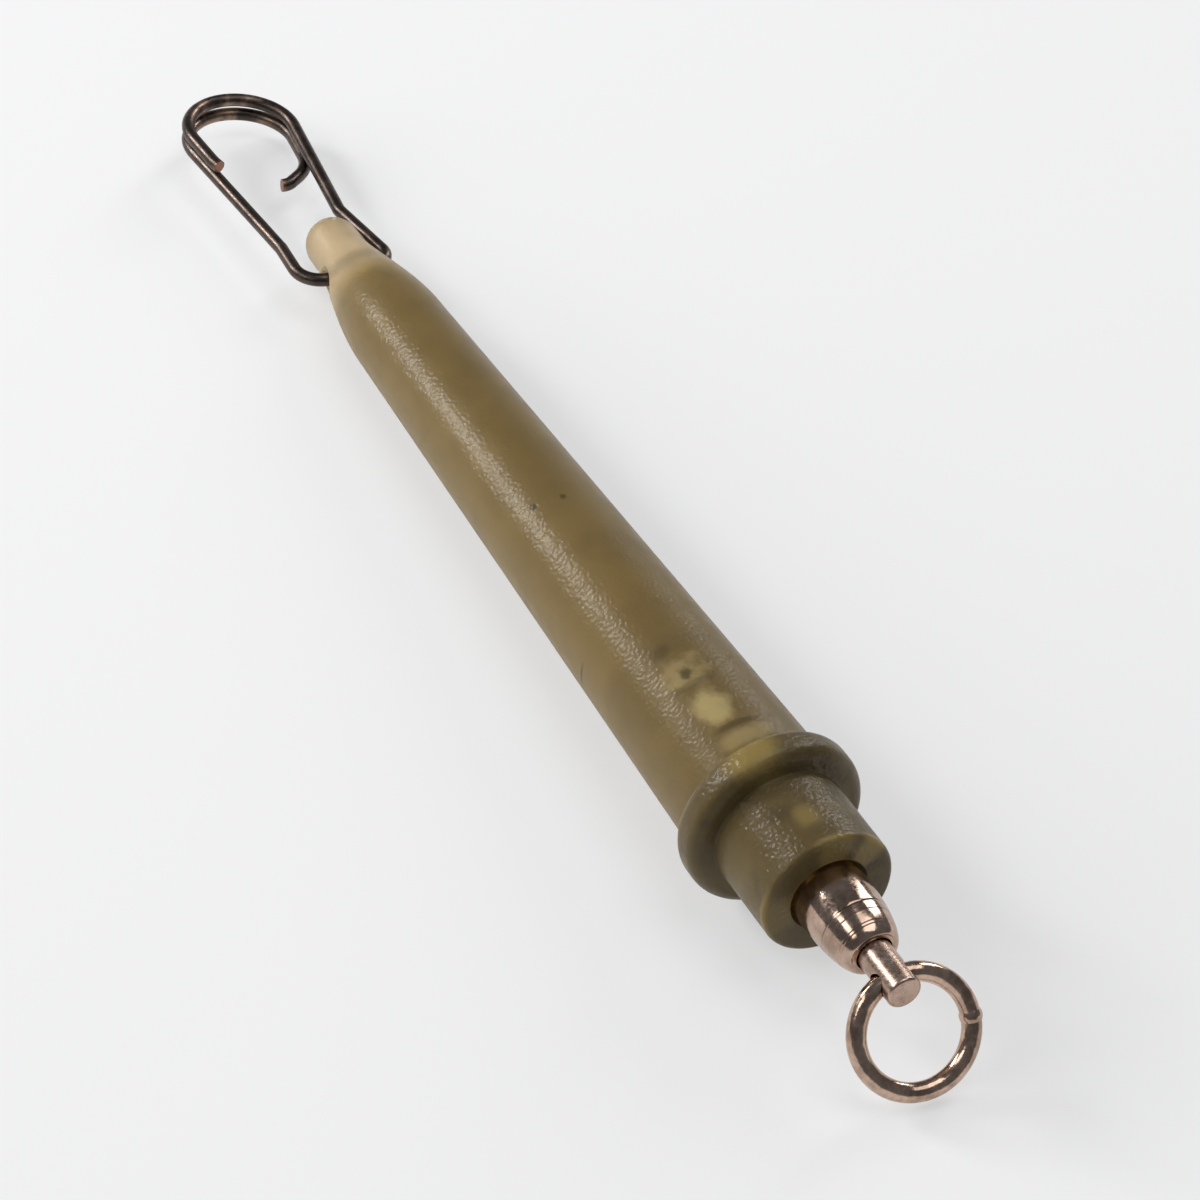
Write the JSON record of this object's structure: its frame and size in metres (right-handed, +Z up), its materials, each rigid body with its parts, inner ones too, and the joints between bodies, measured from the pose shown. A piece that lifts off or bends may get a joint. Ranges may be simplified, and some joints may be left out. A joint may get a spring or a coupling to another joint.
{
  "type": "fishing float",
  "caption": "Slim tapered hollow fishing float with a glued flanged end plug, a ball-bearing swivel with a welded line ring, and a swinging wire snap clip at its nose.",
  "frame": {"origin": "on the surface under the middle of the object's box, with the float lying on its flange and nose", "axes": "+X along the float from the clip to the line ring, +Z up"},
  "size_m": [0.104, 0.012, 0.012],
  "materials": {
    "body_plastic": "translucent olive moulding, glossy",
    "plug_plastic": "translucent olive moulding, darker, glossy",
    "glue": "clear yellowish glue",
    "barrel_metal": "dark nickel plate over brass, polished",
    "pin_metal": "dark nickel plate over brass, polished",
    "bearing_steel": "polished steel",
    "ring_wire": "dark nickel plate, polished",
    "clip_wire": "dark nickel plate, polished"
  },
  "bodies": {
    "float": {"float_tube": "body_plastic", "end_plug": "plug_plastic", "seal_glue": "glue", "anchor_pin": "pin_metal"},
    "barrel": {"swivel_barrel": "barrel_metal", "barrel_collar": "barrel_metal", "race_washer": "bearing_steel"},
    "balls": {"bearing_balls": "bearing_steel"},
    "pin": {"swivel_pin": "pin_metal"},
    "ring": {"line_ring": "ring_wire"},
    "clip": {"snap_clip": "clip_wire"}
  },
  "joints": [
    {"name": "barrel_spin", "type": "hinge", "parent": "float", "child": "barrel", "pos_m": [0.04045, 0, 0.00643], "axis": [0.9989, 0, 0.0472], "continuous": true},
    {"name": "swivel_spin", "type": "hinge", "parent": "barrel", "child": "pin", "pos_m": [0.04285, 0, 0.00654], "axis": [0.9989, 0, 0.0472], "continuous": true},
    {"name": "ball_orbit", "type": "hinge", "parent": "barrel", "child": "balls", "pos_m": [0.04144, 0, 0.00647], "axis": [0.9989, 0, 0.0472], "continuous": true},
    {"name": "ring_swing", "type": "hinge", "parent": "pin", "child": "ring", "pos_m": [0.04724, 0, 0.00675], "axis": [-0.0074, 0.9877, 0.1563], "range_deg": [-207, 93]},
    {"name": "clip_swing", "type": "hinge", "parent": "float", "child": "clip", "pos_m": [-0.02937, 0, 0.00312], "axis": [0, 1, 0], "range_deg": [-138, 134]}
  ],
  "couplings": [
    {"joint": "ball_orbit", "follows": "swivel_spin", "ratio": 0.5}
  ]
}
